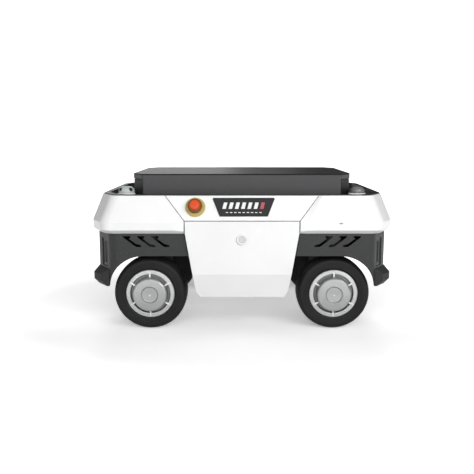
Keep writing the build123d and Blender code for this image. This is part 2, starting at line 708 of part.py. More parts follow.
def hub_stator():
    """The fixed half of the hub motor: axle, wound core with its teeth, and the axle nut outside the arm."""
    axle = drum(AXLE_R, -66, 16)
    core = drum(30, -20, 14) - drum(AXLE_R - 1, -30, -21)
    for index in range(18):
        core += Rot(0, 0, 20 * index) * block(28, 48, -2.2, 2.2, -18, 12)
    nut = Pos(0, 0, -61) * (extrude(RegularPolygon(15, 6), 8.9) - drum(AXLE_R + 0.05, -1, 12))
    return (axle + core) + nut


def knuckle(side):
    """The steering knuckle for a wheel on that side, about its own axis: crown, arm and upright pivot."""
    towards = -side
    crown = drum(28, CROWN_LOW_Z, CROWN_TOP_Z)
    low, high = sorted((0, towards * ARM_OUT))
    crown += block(-25, 25, low, high, CROWN_LOW_Z, CROWN_TOP_Z)
    low, high = sorted((towards * ARM_IN, towards * ARM_OUT))
    arm = slab_y([(-22, TYRE_R), (22, TYRE_R), (25, CROWN_TOP_Z), (-25, CROWN_TOP_Z)], low, high)
    arm += Pos(0, (low + high) / 2, TYRE_R) * Rot(90, 0, 0) * Cylinder(22, ARM_OUT - ARM_IN)
    arm -= Pos(0, (low + high) / 2, TYRE_R) * Rot(90, 0, 0) * Cylinder(AXLE_R + 0.05, 40)
    arm -= slab_y([(-9, 122), (9, 122), (12, 170), (-12, 170)], low - 1, high + 1)
    low, high = sorted((towards * (ARM_IN - 8), towards * (ARM_IN + 1)))
    gusset = block(-25, 25, low, high, CROWN_LOW_Z + 4, CROWN_TOP_Z)
    pivot = drum(22, CROWN_TOP_Z - 1, PAN_Z + PAN_T) + drum(PIVOT_R, PAN_Z, PAN_Z + 24)
    return crown + arm + gusset + pivot


def steering_reducer():
    """The planetary gearbox that turns the knuckle, on its flange, with the pivot's bore."""
    base = PAN_Z + PAN_T + 0.1
    case = spun(
        (0, base + 30),
        (0, base + 44),
        (26, base + 44),
        (34, base + 38),
        (34, base + 8),
        (42, base + 8),
        (42, base),
        (30.5, base),
        (30.5, base + 3),
        (PIVOT_R + PIVOT_CLEAR, base + 3),
        (PIVOT_R + PIVOT_CLEAR, base + 30),
    )
    for index in range(6):
        case += Rot(0, 0, 60 * index) * Pos(38, 0, 0) * drum(2.8, base + 7.5, base + 11)
    return case


def steering_motor():
    """The round motor on the gearbox, with a connector box on its side."""
    base = PAN_Z + PAN_T + 44.2
    can = spun((0, base), (27, base), (28.5, base + 2), (28.5, base + 58), (25, base + 63), (0, base + 63))
    return can + block(-10, 10, 22, 36, base + 44, base + 58)


def main():
    nodes = {
        "chassis_frame": chassis_frame(),
        "floor_pan": floor_pan(),
        "front_hood": hood(),
        "rear_hood": mirror(hood(), Plane.YZ),
        "right_side_panel": side_panel(),
        "left_side_panel": Rot(0, 0, 180) * side_panel(),
        "left_skirt": mirror(skirt(), Plane.XZ),
        "front_fascia": fascia(),
        "rear_fascia": mirror(fascia(), Plane.YZ),
        "corner_lamps": corner_lamps(),
        "front_bumper": bumper(),
        "rear_bumper": mirror(bumper(), Plane.YZ),
        "deck_tray": deck_tray(),
        "deck_plate": deck_plate(),
        "deck_frame": deck_frame(),
        "pod_bases": pod_base(POD_X) + pod_base(-POD_X),
        "antenna_dome": antenna_dome(),
        "connector_pod": connector_pod(),
        "nameplates": nameplate() + Rot(0, 0, 180) * nameplate(),
        "estop_collars": estop_collar() + Rot(0, 0, 180) * estop_collar(),
        "battery_pack": battery_pack(),
        "controller_box": controller_box(),
        "motor_drivers": motor_drivers(),
        "charge_port": charge_port(),
        "hinge_brackets": hinge_bracket(-70) + hinge_bracket(70),
        "battery_door": skirt() + hinge_lug(-70) + hinge_lug(70),
        "latch_bezel": latch_bezel(),
        "latch_knob": latch_knob(),
        "right_estop_plunger": estop_plunger(),
        "right_estop_head": estop_head(),
        "left_estop_plunger": Rot(0, 0, 180) * estop_plunger(),
        "left_estop_head": Rot(0, 0, 180) * estop_head(),
    }
    shared = {
        "tyre": tyre(),
        "wheel_hub": wheel_hub(),
        "wheel_cover": wheel_cover(),
        "hub_stator": hub_stator(),
    }
    for end_name, end in (("front", 1), ("rear", -1)):
        for side_name, side in (("left", 1), ("right", -1)):
            corner = f"{end_name}_{side_name}"
            seat = wheel_frame(end, side)
            for piece, shape in shared.items():
                nodes[f"{piece}_{corner}"] = seat * shape
            above = Pos(end * WHEELBASE / 2, side * TRACK / 2, 0)
            nodes[f"knuckle_{corner}"] = above * knuckle(side)
            nodes[f"steering_reducer_{corner}"] = above * steering_reducer()
            nodes[f"steering_motor_{corner}"] = above * Rot(0, 0, 0 if side < 0 else 180) * steering_motor()
    for name, shape in nodes.items():
        solids = list(shape.solids())
        export_step(Compound(children=solids) if len(solids) > 1 else solids[0], f"parts/{name}.step")
        print(name, len(solids), round(sum(s.volume for s in solids)))
    print(len(nodes), "nodes")


main()
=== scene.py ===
from math import atan2, cos, pi, radians, sin

import bmesh
import bpy
from mathutils import Matrix, Vector


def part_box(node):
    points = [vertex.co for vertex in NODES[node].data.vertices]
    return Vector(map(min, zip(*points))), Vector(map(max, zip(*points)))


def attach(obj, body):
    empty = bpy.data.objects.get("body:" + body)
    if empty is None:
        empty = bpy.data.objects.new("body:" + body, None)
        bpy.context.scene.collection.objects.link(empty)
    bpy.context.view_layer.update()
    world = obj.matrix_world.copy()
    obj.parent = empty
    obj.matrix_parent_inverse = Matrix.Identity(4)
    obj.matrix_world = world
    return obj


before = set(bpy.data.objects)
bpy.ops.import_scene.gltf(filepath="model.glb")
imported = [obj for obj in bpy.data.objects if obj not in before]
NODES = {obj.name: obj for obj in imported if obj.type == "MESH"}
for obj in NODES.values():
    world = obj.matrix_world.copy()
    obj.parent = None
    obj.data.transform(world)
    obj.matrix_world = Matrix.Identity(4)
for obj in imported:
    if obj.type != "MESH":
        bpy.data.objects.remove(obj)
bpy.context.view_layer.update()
CORNERS = [
    (end + "_" + side, ex, sy)
    for end, ex in (("front", 1), ("rear", -1))
    for side, sy in (("left", 1), ("right", -1))
]

# ---------------------------------------------------------------- sizes that pieces share with the part, in metres
PANEL_RUN, PANEL_RISE = 26.0, 62.0
SLOPE = atan2(PANEL_RUN, PANEL_RISE)
BELT_Y, BELT_TOP_Z, PANEL_INSET = 0.250, 0.272, 0.003
WHEEL_X, WHEEL_Y, WHEEL_Z = 0.2265, 0.182, 0.090
PLATE_X, PLATE_Z, PLATE_FACE = 0.004, 0.3068, 0.00172
STOP_X, STOP_Z = 0.112, 0.3067
DECK_X, DECK_Z, DECK_SCREW_Z = 0.273, 0.383, 0.3765
FASCIA_X = 0.3575
LAMP_CENTRE, LAMP_NORMAL = (0.3365, 0.2085, 0.1945), (63.0, 42.0)
POD_SOCKET_Z = 0.343
PLUG_X, PLUG_Y, PLUG_Z = 0.2358, 0.2499, 0.2705

# Where a wheel cover's look changes, each from one value to another: radii, then distances out from the wheel's middle.
CAP_EDGE, RIB_FOOT = (0.0422, 0.0428), (0.0430, 0.0436)
GROOVE_INNER, GROOVE_OUTER = (0.0420, 0.0426), (0.0494, 0.0488)
GROOVE_DEPTH, RIB_FACE = (0.0325, 0.0300), (0.0342, 0.0346)
TURNING_PITCH = 0.00075

# The same for a tyre: the moulded rings' band on the sidewall, their pitch, and the tread.
RING_BAND_INNER, RING_BAND_OUTER, RING_PITCH = (0.0655, 0.0665), (0.0745, 0.0735), 0.0022
TREAD = (0.0875, 0.0895)


def panel_y(z):
    """How far out the sloping side panel lies at a height."""
    return BELT_Y - PANEL_INSET - (z - BELT_TOP_Z) * PANEL_RUN / PANEL_RISE


# ---------------------------------------------------------------- materials
DUST = (0.45, 0.43, 0.4)
# Painted shade for the gaps between the shell's panels.
SEAM_SHADE = (0.03, 0.03, 0.03)
CLOUD = (0.3, 0.7)
COAT_ROUGHNESS = 0.08


def scaled(colour, factor, lift=0.0):
    """A colour made lighter or darker."""
    return tuple(min(1.0, c * factor + lift) for c in colour)


class Nodes:
    """A small helper that builds one material's node tree."""

    def __init__(self, name):
        self.material = bpy.data.materials.new(name)
        self.material.use_nodes = True
        self.tree = self.material.node_tree
        self.tree.nodes.clear()
        self.out = self.add("ShaderNodeOutputMaterial")
        self.bsdf = self.add("ShaderNodeBsdfPrincipled")
        self.link(self.bsdf.outputs[0], self.out.inputs[0])
        self.coord = self.add("ShaderNodeTexCoord").outputs["Object"]

    def add(self, kind, **settings):
        node = self.tree.nodes.new(kind)
        for key, value in settings.items():
            setattr(node, key, value)
        return node

    def link(self, a, b):
        self.tree.links.new(a, b)

    def put(self, socket, value):
        if isinstance(value, bpy.types.NodeSocket):
            self.link(value, socket)
        else:
            socket.default_value = value

    def set(self, **values):
        for key, value in values.items():
            self.put(self.bsdf.inputs[key.replace("_", " ")], value)

    def math(self, operation, a, b=0.0):
        node = self.add("ShaderNodeMath", operation=operation)
        self.put(node.inputs[0], a)
        self.put(node.inputs[1], b)
        return node.outputs[0]

    def times(self, a, b):
        return self.math("MULTIPLY", a, b)

    def plus(self, a, b):
        return self.math("ADD", a, b)

    def vectors(self, operation, a, b=(0, 0, 0)):
        """A vector operation's outputs, Vector and Value."""
        node = self.add("ShaderNodeVectorMath", operation=operation)
        self.put(node.inputs[0], a)
        self.put(node.inputs[1], b)
        return node.outputs

    def split(self, vector):
        """The x, y and z of a vector."""
        node = self.add("ShaderNodeSeparateXYZ")
        self.link(vector, node.inputs[0])
        return tuple(node.outputs)

    def normal(self):
        return self.add("ShaderNodeNewGeometry").outputs["Normal"]

    def noise(self, scale, detail=3.0, rough=0.55, stretch=None):
        node = self.add("ShaderNodeTexNoise")
        node.inputs["Scale"].default_value = scale
        node.inputs["Detail"].default_value = detail
        node.inputs["Roughness"].default_value = rough
        source = self.coord
        if stretch:
            mapping = self.add("ShaderNodeMapping")
            mapping.inputs["Scale"].default_value = stretch
            self.link(source, mapping.inputs["Vector"])
            source = mapping.outputs[0]
        self.link(source, node.inputs["Vector"])
        return node.outputs["Fac"]

    def ramp(self, value, low, high, to_low=0.0, to_high=1.0):
        node = self.add("ShaderNodeMapRange")
        node.inputs["From Min"].default_value = low
        node.inputs["From Max"].default_value = high
        node.inputs["To Min"].default_value = to_low
        node.inputs["To Max"].default_value = to_high
        self.link(value, node.inputs["Value"])
        return node.outputs[0]

    def mix(self, factor, a, b):
        node = self.add("ShaderNodeMix", data_type="RGBA")
        self.put(node.inputs[0], factor)
        self.put(node.inputs[6], (*a, 1.0) if isinstance(a, tuple) else a)
        self.put(node.inputs[7], (*b, 1.0) if isinstance(b, tuple) else b)
        return node.outputs[2]

    def dusted(self, tint, amount):
        """A colour under fine specks of dust."""
        return self.mix(self.ramp(self.noise(260.0, 6.0, 0.7), 0.56, 0.72, 0.0, amount), tint, DUST)

    def wave(self):
        """The slow unevenness of a moulded face, as a bump layer."""
        return self.noise(24.0, 2.0), 0.06, 0.0006

    def bump(self, *layers, edge):
        """Stacks bump layers given as (height, strength, distance), over edges rounded by a bevel."""
        bevel = self.add("ShaderNodeBevel", samples=4)
        bevel.inputs["Radius"].default_value = edge
        normal = bevel.outputs[0]
        for height, strength, distance in layers:
            node = self.add("ShaderNodeBump")
            node.inputs["Strength"].default_value = strength
            node.inputs["Distance"].default_value = distance
            self.link(height, node.inputs["Height"])
            self.link(normal, node.inputs["Normal"])
            normal = node.outputs[0]
        self.link(normal, self.bsdf.inputs["Normal"])

    def edges(self, radius=0.0015):
        """Near 1 along edges and 0 on flats, broken up by noise: where paint and plastic wear."""
        bevel = self.add("ShaderNodeBevel", samples=4)
        bevel.inputs["Radius"].default_value = radius
        edge = self.ramp(self.vectors("DOT_PRODUCT", bevel.outputs[0], self.normal())["Value"], 0.995, 0.9)
        return self.times(edge, self.ramp(self.noise(90.0, 4.0), 0.45, 0.7))

    def radius(self, centre, axis=(0, 1, 0)):
        """The distance in metres from an axis through a point, a wheel's axle unless another is given."""
        offset = self.vectors("SUBTRACT", self.coord, centre)["Vector"]
        return self.vectors("LENGTH", self.vectors("CROSS_PRODUCT", offset, axis)["Vector"])["Value"]


def seam_shade_mask(n):
    """1 on the cut edges that face each other across the shell's seams, and 0 on the rim's top: where painted shade
    darkens the gaps between panels.
    """
    x, _, z = n.split(n.coord)
    _, facing_y, facing_z = n.split(n.normal())
    edge = n.ramp(n.math("ABSOLUTE", facing_y), 0.2, 0.1)
    middle = n.ramp(n.math("ABSOLUTE", x), 0.21, 0.20)
    rim = n.times(n.ramp(facing_z, 0.8, 0.95), n.ramp(z, 0.30, 0.31))
    return n.times(n.times(edge, middle), n.math("SUBTRACT", 1.0, rim))


def plastic(name, colour, rough, grain, grain_scale=1400.0, edge=0.0012, wear=None, spec=0.5, coat=0.0, dust=0.0,
            seams=False):
    """Moulded plastic: a faint texture, uneven gloss, a little dust, and edges worn by wear's (amount, colour)."""
    n = Nodes(name)
    cloud = n.noise(9.0, 4.0)
    fine = n.noise(grain_scale, 2.0)
    tint = n.mix(n.ramp(cloud, *CLOUD), scaled(colour, 0.965), scaled(colour, 1.02))
    if dust:
        tint = n.dusted(tint, dust)
    if wear:
        amount, worn = wear
        tint = n.mix(n.times(n.edges(), amount), tint, worn)
    # Painted shade: the seams' cut edges are painted near black, for the shade in the gaps between panels.
    if seams:
        tint = n.mix(seam_shade_mask(n), tint, SEAM_SHADE)
    n.set(Base_Color=tint, Roughness=n.ramp(cloud, *CLOUD, rough - 0.05, rough + 0.06), Specular_IOR_Level=spec)
    if coat:
        n.set(Coat_Weight=coat, Coat_Roughness=COAT_ROUGHNESS)
    n.bump(n.wave(), (fine, grain, 0.0002), edge=edge)
    return n.material


def metal(name, colour, rough, brush=(1.0, 1.0, 1.0)):
    """Metal with brushing along one axis and smudges."""
    n = Nodes(name)
    smudge = n.noise(14.0, 5.0)
    lines = n.noise(600.0, 3.0, stretch=brush)
    n.set(
        Base_Color=n.mix(n.ramp(smudge, 0.3, 0.75), scaled(colour, 0.9), colour),
        Metallic=1.0,
        Roughness=n.ramp(smudge, 0.3, 0.75, rough + 0.08, rough - 0.04),
    )
    n.bump((lines, 0.12, 0.00015), edge=0.0008)
    return n.material


def powder(name, colour, rough, spec=0.3, scale=1500.0, strength=0.25, fold_z=None):
    """Powder coat: a fine pebbled skin, with scuffs that dull it. Under fold_z, a fold's edge can carry a painted line
    of shade and dark reflection, with less gloss.
    """
    n = Nodes(name)
    pebble = n.noise(scale, 2.0)
    scuff = n.ramp(n.noise(40.0, 6.0, 0.7, stretch=(1.0, 4.0, 4.0)), 0.58, 0.75)
    tint = n.mix(n.times(scuff, 0.25), colour, scaled(colour, 2.2, 0.01))
    tint = n.mix(n.times(n.edges(0.001), 0.35), tint, (0.2, 0.2, 0.2))
    if fold_z:
        # Painted shade and dark reflection: the walls' top few millimetres under the fold are painted darker and less
        # glossy.
        z, facing_z = n.split(n.coord)[2], n.split(n.normal())[2]
        line = n.times(n.ramp(z, fold_z - 0.0034, fold_z - 0.0026), n.ramp(facing_z, 0.95, 0.85))
        tint = n.mix(line, tint, scaled(colour, 0.25))
        spec = n.ramp(line, 0.0, 1.0, spec, 0.08)
    n.set(Base_Color=tint, Roughness=n.plus(rough, n.times(scuff, 0.12)), Specular_IOR_Level=spec)
    n.bump((pebble, strength, 0.0002), edge=0.001)
    return n.material


def tyre_rubber(name, centre):
    """Rubber with moulded rings on the sidewall, a scuffed tread and dust in the grain."""
    n = Nodes(name)
    r = n.radius(centre)
    rings = n.math("SINE", n.times(r, 2 * pi / RING_PITCH))
    side = n.times(rings, n.times(n.ramp(r, *RING_BAND_INNER), n.ramp(r, *RING_BAND_OUTER)))
    grain = n.noise(700.0, 4.0)
    patch = n.noise(30.0, 5.0, 0.65)
    tread = n.ramp(r, *TREAD)
    tint = n.mix(n.ramp(patch, 0.35, 0.7), (0.006, 0.006, 0.0062), (0.010, 0.010, 0.0104))
    tint = n.mix(n.times(tread, n.ramp(patch, 0.35, 0.65, 0.25, 0.75)), tint, (0.04, 0.039, 0.037))
    rough = n.plus(n.ramp(patch, 0.3, 0.7, 0.5, 0.62), n.times(tread, 0.15))
    n.set(Base_Color=tint, Roughness=rough, Specular_IOR_Level=0.2)
    n.bump((side, 0.5, 0.0004), (grain, 0.18, 0.0003), edge=0.0008)
    return n.material


def turned_metal(name, centre, cap, ring, rough):
    """Lathe-turned metal: fine rings round the axle, a ring brighter than the cap, and painted shade that darkens the
    groove between them.
    """
    n = Nodes(name)
    r = n.radius(centre)
    outboard = n.math("SUBTRACT", n.math("ABSOLUTE", n.split(n.coord)[1]), abs(centre[1]))
    groove = n.times(n.ramp(r, *GROOVE_INNER), n.ramp(r, *GROOVE_OUTER))
    groove = n.times(groove, n.ramp(outboard, *GROOVE_DEPTH))
    rib = n.times(n.ramp(outboard, *RIB_FACE), n.ramp(r, *RIB_FOOT))
    rings = n.math("SINE", n.times(r, 2 * pi / TURNING_PITCH))
    smudge = n.noise(18.0, 5.0)
    tint = n.mix(n.ramp(r, *CAP_EDGE), cap, ring)
    tint = n.mix(n.ramp(smudge, 0.35, 0.7, 0.12, 0.0), tint, (0.12, 0.12, 0.12))
    tint = n.mix(n.times(n.edges(0.0006), 0.3), tint, (0.9, 0.9, 0.9))
    # Painted shade: the deep part of the groove is painted dark grey.
    tint = n.mix(groove, tint, (0.15, 0.15, 0.15))
    tint = n.mix(rib, tint, (0.62, 0.62, 0.62))
    n.set(Base_Color=tint, Metallic=0.7, Roughness=n.ramp(smudge, 0.35, 0.7, rough + 0.07, rough - 0.03))
    n.bump((rings, 0.10, 0.0001), (n.noise(900.0, 2.0), 0.06, 0.0001), edge=0.0014)
    return n.material


def stop_head(name, sy):
    """A stop button's head: bright on its face, with painted shade that darkens the sloping skirt, and a fine moulded
    grain.
    """
    n = Nodes(name)
    r = n.radius((sy * STOP_X, sy * panel_y(STOP_Z), STOP_Z), (0, sy * cos(SLOPE), sin(SLOPE)))
    cloud = n.noise(60.0, 4.0)
    tint = n.mix(n.ramp(cloud, *CLOUD), (0.60, 0.058, 0.008), (0.64, 0.063, 0.009))
    # Painted shade: the skirt, out from the face's edge, is painted a dark brown-red.
    tint = n.mix(n.ramp(r, 0.0112, 0.0130), tint, (0.21, 0.066, 0.010))
    tint = n.mix(n.times(n.edges(), 0.25), tint, (0.5, 0.1, 0.04))
    n.set(Base_Color=tint, Roughness=n.ramp(cloud, *CLOUD, 0.37, 0.48), Specular_IOR_Level=0.3)
    n.set(Coat_Weight=0.05, Coat_Roughness=COAT_ROUGHNESS)
    n.bump(n.wave(), (n.noise(1400.0, 2.0), 0.05, 0.0002), edge=0.0012)
    return n.material


def body_moulding(name):
    """The fascias' moulding: textured outside, with painted shade inside the wheel wells, where it is darker and
    rougher.
    """
    n = Nodes(name)
    flat = n.vectors("MULTIPLY", n.coord, (1, 1, 0))["Vector"]
    inside = n.ramp(n.vectors("DOT_PRODUCT", flat, n.normal())["Value"], -0.02, -0.10)
    cloud, grain = n.noise(9.0, 4.0), n.noise(1100.0, 2.0)
    tint = n.mix(n.ramp(cloud, *CLOUD), (0.024, 0.0245, 0.0255), (0.029, 0.0295, 0.0305))
    tint = n.mix(n.times(n.edges(), 0.3), tint, (0.16, 0.16, 0.16))
    tint = n.dusted(tint, 0.05)
    # Painted shade: faces that look in towards the middle, inside the wheel wells, are painted near black.
    tint = n.mix(inside, tint, (0.006, 0.006, 0.006))
    rough = n.plus(n.ramp(cloud, *CLOUD, 0.43, 0.54), n.times(inside, 0.35))
    n.set(Base_Color=tint, Roughness=rough, Specular_IOR_Level=0.25)
    n.bump(n.wave(), (grain, 0.35, 0.0002), edge=0.0015)
    return n.material


SHELL_WEAR = (0.10, (0.62, 0.62, 0.6))
FITTING_WEAR = (0.3, (0.4, 0.4, 0.39))
WHITE = plastic(
    "white_gloss", (0.80, 0.805, 0.80), 0.32, 0.05, edge=0.0022, wear=SHELL_WEAR, coat=0.25, dust=0.02, seams=True,
)
WHITE_SKIRT = plastic(
    "white_satin", (0.785, 0.79, 0.785), 0.42, 0.06, edge=0.0018, wear=SHELL_WEAR, coat=0.1, dust=0.03, seams=True,
)
FITTING = plastic("fitting_white", (0.74, 0.75, 0.74), 0.3, 0.04, edge=0.0006, wear=FITTING_WEAR, coat=0.3)
FITTING_CORE = plastic("fitting_core", (0.60, 0.61, 0.60), 0.3, 0.04, edge=0.0006, wear=FITTING_WEAR, coat=0.2)
BLACK_BODY = body_moulding("black_moulding")
BUMPER = plastic(
    "bumper_rubber", (0.028, 0.028, 0.029), 0.6, 0.3, grain_scale=900.0, edge=0.002,
    wear=(0.25, (0.09, 0.09, 0.09)), spec=0.15, dust=0.05,
)
BLACK_TRIM = plastic(
    "black_trim", (0.02, 0.02, 0.021), 0.42, 0.2, edge=0.001, wear=(0.2, (0.1, 0.1, 0.1)), dust=0.04,
)
DECK = powder("deck_coat", (0.034, 0.034, 0.036), 0.42, spec=0.35, fold_z=DECK_Z)
POSTS = powder("post_coat", (0.009, 0.009, 0.010), 0.48, spec=0.25)
FRAME_PAINT = powder("frame_paint", (0.01, 0.01, 0.011), 0.7, spec=0.15)
TRAY = plastic("tray_liner", (0.022, 0.023, 0.023), 0.42, 0.15, edge=0.001, spec=0.33, dust=0.03)
LENS = plastic("smoked_lens", (0.007, 0.007, 0.008), 0.35, 0.0, edge=0.0015, spec=0.12, coat=0.05)
LAMP = plastic("lamp_bar", (0.016, 0.017, 0.018), 0.5, 0.2, grain_scale=500.0, spec=0.15, edge=0.0006)
DOME = plastic("dome_gloss", (0.13, 0.135, 0.135), 0.28, 0.0, coat=0.4, edge=0.001)
POD = plastic("pod_satin", (0.42, 0.46, 0.43), 0.35, 0.1, edge=0.001, wear=(0.2, (0.6, 0.62, 0.6)))
BADGE = plastic("badge_grey", (0.021, 0.021, 0.022), 0.55, 0.3, edge=0.0008, spec=0.2)
INK = plastic("badge_ink", (0.74, 0.74, 0.74), 0.45, 0.15, edge=0.0002)
INK_RED = plastic("badge_ink_red", (0.42, 0.055, 0.07), 0.45, 0.15, edge=0.0002)
YELLOW = plastic("stop_yellow", (0.46, 0.37, 0.12), 0.4, 0.05, coat=0.05, spec=0.3, wear=(0.3, (0.6, 0.4, 0.08)))
RED = {"right": stop_head("stop_red_right", -1), "left": stop_head("stop_red_left", 1)}
STEM = plastic("stop_stem", (0.05, 0.05, 0.05), 0.45, 0.15)
BATTERY = plastic(
    "battery_case", (0.06, 0.065, 0.07), 0.55, 0.4, grain_scale=800.0, edge=0.002, wear=(0.3, (0.2, 0.2, 0.2)),
)
CASE = metal("anodised_case", (0.2, 0.21, 0.22), 0.42, brush=(0.05, 1.0, 1.0))
STEEL = metal("zinc_steel", (0.55, 0.55, 0.54), 0.32)
GEAR = metal("machined_case", (0.05, 0.051, 0.053), 0.42, brush=(1.0, 1.0, 0.05))
CAN = powder("motor_can", (0.008, 0.008, 0.009), 0.5, spec=0.25)
CASTING = powder("knuckle_cast", (0.028, 0.029, 0.031), 0.55, spec=0.35, scale=500.0, strength=0.4)
SCREW = metal("black_screw", (0.09, 0.09, 0.09), 0.35)

DRESS = {
    "front_hood": WHITE, "rear_hood": WHITE, "right_side_panel": WHITE, "left_side_panel": WHITE,
    "battery_door": WHITE_SKIRT, "left_skirt": WHITE_SKIRT, "latch_bezel": FITTING, "latch_knob": FITTING_CORE,
    "front_fascia": BLACK_BODY, "rear_fascia": BLACK_BODY, "front_bumper": BUMPER, "rear_bumper": BUMPER,
    "corner_lamps": LENS, "deck_tray": TRAY, "deck_plate": DECK, "deck_frame": POSTS, "floor_pan": FRAME_PAINT,
    "chassis_frame": FRAME_PAINT, "hinge_brackets": STEEL, "antenna_dome": DOME, "connector_pod": POD,
    "pod_bases": WHITE, "nameplates": BADGE, "estop_collars": YELLOW, "right_estop_plunger": STEM,
    "left_estop_plunger": STEM, "right_estop_head": RED["right"], "left_estop_head": RED["left"],
    "battery_pack": BATTERY, "controller_box": CASE, "motor_drivers": CASE, "charge_port": BLACK_TRIM,
}
for corner, ex, sy in CORNERS:
    centre = (ex * WHEEL_X, sy * WHEEL_Y, WHEEL_Z)
    DRESS["tyre_" + corner] = tyre_rubber("tyre_rubber_" + corner, centre)
    DRESS["wheel_hub_" + corner] = powder("rim_coat_" + corner, (0.012, 0.012, 0.013), 0.55, spec=0.2)
    DRESS["wheel_cover_" + corner] = turned_metal(
        "cover_metal_" + corner, centre, (0.34, 0.345, 0.345), (0.46, 0.46, 0.465), 0.29,
    )
    DRESS["hub_stator_" + corner] = STEEL
    DRESS["knuckle_" + corner] = CASTING
    DRESS["steering_reducer_" + corner] = GEAR
    DRESS["steering_motor_" + corner] = CAN
for name, obj in NODES.items():
    obj.data.materials.clear()
    obj.data.materials.append(DRESS[name])


# ---------------------------------------------------------------- building pieces
SMOOTH_BELOW = radians(35.0)
ARC_STEPS = 6


def piece(name, bm, material, body):
    """Turns a bmesh into a piece that rides on a body."""
    bmesh.ops.remove_doubles(bm, verts=bm.verts, dist=1e-6)
    bmesh.ops.recalc_face_normals(bm, faces=bm.faces)
    mesh = bpy.data.meshes.new(name)
    bm.to_mesh(mesh)
    bm.free()
    obj = bpy.data.objects.new(name, mesh)
    bpy.context.scene.collection.objects.link(obj)
    mesh.materials.append(material)
    for polygon in mesh.polygons:
        polygon.use_smooth = True
    mesh.set_sharp_from_angle(angle=SMOOTH_BELOW)
    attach(obj, body)


def prism(bm, outline, z0, z1, matrix):
    """A closed prism from a flat outline, placed by a matrix."""
    low = [bm.verts.new(matrix @ Vector((x, y, z0))) for x, y in outline]
    high = [bm.verts.new(matrix @ Vector((x, y, z1))) for x, y in outline]
    bm.faces.new(low[::-1])
    bm.faces.new(high)
    for i in range(len(outline)):
        j = (i + 1) % len(outline)
        bm.faces.new((low[i], low[j], high[j], high[i]))


def circle(half_x, half_y, steps):
    """The points of a circle or an ellipse."""
    return [(half_x * cos(2 * pi * i / steps), half_y * sin(2 * pi * i / steps)) for i in range(steps)]


def ring(bm, matrix, radius, z, steps):
    """A ring of vertices about local Z, or one vertex where the radius is 0."""
    points = circle(radius, radius, steps) if radius else [(0, 0)]
    return [bm.verts.new(matrix @ Vector((x, y, z))) for x, y in points]


def turned(bm, profile, matrix, steps=32):
    """A solid of revolution about local Z from (radius, z) points that start and end on the axis."""
    rings = [ring(bm, matrix, radius, z, steps) for radius, z in profile]
    for a, b in zip(rings, rings[1:]):
        for i in range(steps):
            j = (i + 1) % steps
            corners = [a[i % len(a)], a[j % len(a)], b[j % len(b)], b[i % len(b)]]
            unique = [v for k, v in enumerate(corners) if v not in corners[:k]]
            if len(unique) > 2:
                bm.faces.new(unique)


def rounded(half_x, half_y, radius):
    """The outline of a rounded rectangle."""
    points = []
    for sx, sy, start in ((1, 1, 0), (-1, 1, 90), (-1, -1, 180), (1, -1, 270)):
        for i in range(ARC_STEPS + 1):
            a = radians(start + 90 * i / ARC_STEPS)
            points.append((sx * (half_x - radius) + radius * cos(a), sy * (half_y - radius) + radius * sin(a)))
    return points


def aim(position, normal):
    """A matrix with local Z along normal and local Y as near to upright as it can be."""
    up = Vector((0, 0, 1))
    z = Vector(normal).normalized()
    y = (up - z * z.dot(up)).normalized()
    x = y.cross(z)
    return Matrix.Translation(position) @ Matrix((x, y, z)).transposed().to_4x4()


def screw(bm, matrix, radius):
    """A button-head screw with a hex socket."""
    rim, socket = 24, 0.5 * radius
    profile = ((1.0, 0.0), (1.0, 0.12), (0.9, 0.3), (0.72, 0.42))
    rings = [ring(bm, matrix, radius * scale, radius * z, rim) for scale, z in profile]
    for a, b in zip(rings, rings[1:]):
        for i in range(rim):
            bm.faces.new((a[i], a[(i + 1) % rim], b[(i + 1) % rim], b[i]))
    top = ring(bm, matrix, socket, radius * 0.45, 6)
    floor = ring(bm, matrix, socket, radius * 0.12, 6)
    for i in range(rim):
        k = ((i * 6 + rim // 2) // rim) % 6
        m = (((i + 1) * 6 + rim // 2) // rim) % 6
        edge = (rings[-1][i], rings[-1][(i + 1) % rim])
        bm.faces.new((*edge, top[k]) if k == m else (*edge, top[m], top[k]))
    for i in range(6):
        j = (i + 1) % 6
        bm.faces.new((top[i], top[j], floor[j], floor[i]))
    bm.faces.new(floor)
    bm.faces.new(rings[0][::-1])


def bar(bm, seat, x, half, lean, low, high):
    """A thin printed bar on a badge, from low to high and leaning to one side."""
    outline = [(x - half - lean, low), (x + half - lean, low), (x + half + lean, high), (x - half + lean, high)]
    prism(bm, outline, PLATE_FACE - 0.0004, PLATE_FACE, seat)


def badge_marks(name, turn):
    """A row of plain bars, one of them red, over a thin dashed line."""
    bm, red = bmesh.new(), bmesh.new()
    seat = turn @ aim((PLATE_X, -panel_y(PLATE_Z), PLATE_Z), (0, -cos(SLOPE), sin(SLOPE)))
    for i in range(7):
        bar(red if i == 6 else bm, seat, -0.045 + 0.015 * i, 0.0042, 0.002, -0.0045, 0.0115)
    for i in range(9):
        bar(bm, seat, -0.040 + 0.010 * i, 0.0028, 0.0, -0.0145, -0.0125)
    piece(name, bm, INK, "base")
    piece(name + "_accent", red, INK_RED, "base")


badge_marks("badge_marks_right", Matrix.Identity(4))
badge_marks("badge_marks_left", Matrix.Rotation(pi, 4, "Z"))

# Screws in the end skirts of the top cover.
bm = bmesh.new()
for ex in (-1, 1):
    for y in (-0.105, -0.035, 0.035, 0.105):
        screw(bm, aim((ex * DECK_X, y, DECK_SCREW_Z), (ex, 0, 0)), 0.0034)
piece("cover_screws", bm, SCREW, "base")

# Screws in the end faces of the fascias.
bm = bmesh.new()
for ex in (-1, 1):
    for y in (-0.155, 0.155):
        for z in (0.165, 0.232):
            screw(bm, aim((ex * FASCIA_X, y, z), (ex, 0, 0)), 0.0042)
piece("fascia_screws", bm, SCREW, "base")

